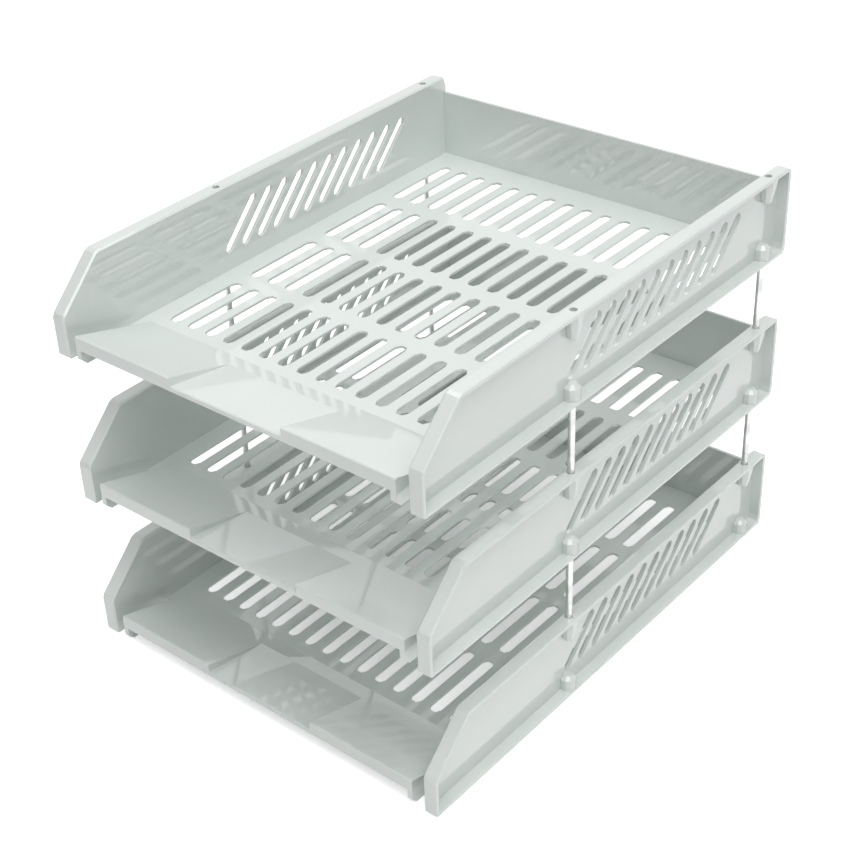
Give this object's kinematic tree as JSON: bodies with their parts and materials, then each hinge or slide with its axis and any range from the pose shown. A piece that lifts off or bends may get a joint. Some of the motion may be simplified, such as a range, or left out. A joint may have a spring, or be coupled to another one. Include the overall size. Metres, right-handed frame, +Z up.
{
  "type": "letter tray stack",
  "caption": "Stack of open front-loading letter trays with slotted floors and slotted side panels, joined by thin metal rods at the side rims.",
  "frame": {"origin": "middle of the footprint, on the surface that the stack stands on", "axes": "+Z up; +Y from the open front to the back panels; +X to the right as seen from the front"},
  "size_m": [0.265, 0.337, 0.253],
  "materials": {
    "tray_plastic": "gloss",
    "rod_steel": "satin"
  },
  "bodies": {
    "bottom_tray": {"bottom_base": "tray_plastic", "bottom_left_side": "tray_plastic", "bottom_right_side": "tray_plastic", "bottom_back_panel": "tray_plastic", "lower_front_left_rod": "rod_steel", "lower_front_right_rod": "rod_steel", "lower_rear_left_rod": "rod_steel", "lower_rear_right_rod": "rod_steel"},
    "middle_tray": {"middle_base": "tray_plastic", "middle_left_side": "tray_plastic", "middle_right_side": "tray_plastic", "middle_back_panel": "tray_plastic", "upper_front_left_rod": "rod_steel", "upper_front_right_rod": "rod_steel", "upper_rear_left_rod": "rod_steel", "upper_rear_right_rod": "rod_steel"},
    "top_tray": {"top_base": "tray_plastic", "top_left_side": "tray_plastic", "top_right_side": "tray_plastic", "top_back_panel": "tray_plastic"}
  },
  "joints": [
    {"name": "lift_middle_tray", "type": "slide", "parent": "bottom_tray", "child": "middle_tray", "axis": [0, 0, 1], "range_m": [0, 0.03]},
    {"name": "lift_top_tray", "type": "slide", "parent": "middle_tray", "child": "top_tray", "axis": [0, 0, 1], "range_m": [0, 0.03]}
  ]
}
